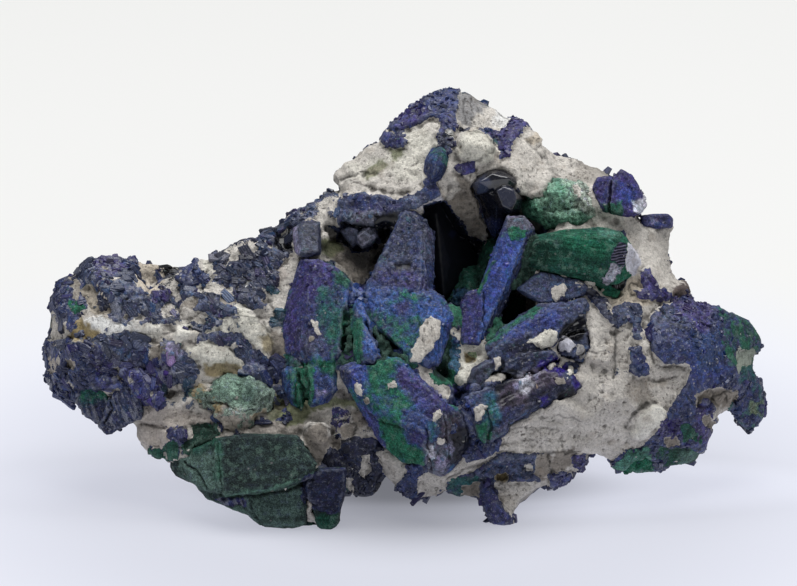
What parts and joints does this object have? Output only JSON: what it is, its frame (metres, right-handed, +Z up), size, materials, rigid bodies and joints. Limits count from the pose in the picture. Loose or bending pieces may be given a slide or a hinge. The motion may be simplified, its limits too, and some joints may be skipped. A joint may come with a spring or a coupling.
{
  "type": "malachite pseudomorph specimen",
  "caption": "Mineral specimen of pale clay rock with bladed azurite crystals, some changed to green malachite, round an open vug",
  "frame": {"origin": "under the middle of the specimen's box, on the surface it rests on", "axes": "+X to the specimen's right as its crystal side is seen, along its length; -Y out of the crystal side; +Z up"},
  "size_m": [0.0902, 0.0433, 0.0487],
  "materials": {
    "clay": "matt, pitted",
    "azurite": "finely crystalline, low sheen",
    "dark_azurite": "glossy crystal faces",
    "malachite": "velvety",
    "pale_malachite": "powdery"
  },
  "bodies": {
    "root": {"clay_rock": "clay", "azurite_spire": "azurite", "azurite_block": "azurite", "azurite_blade": "azurite", "azurite_tablet": "azurite", "azurite_sheaf": "azurite", "azurite_corner_pair": "azurite", "azurite_bar": "azurite", "azurite_bead": "azurite", "azurite_fan": "azurite", "cavity_azurite": "dark_azurite", "roof_stubs": "dark_azurite", "ridge_prism": "dark_azurite", "roof_coins": "dark_azurite", "malachite_prism": "malachite", "malachite_tuft": "malachite", "cavity_malachite": "malachite", "malachite_slab": "malachite", "malachite_grapes": "malachite", "pale_malachite": "pale_malachite"}
  },
  "joints": []
}
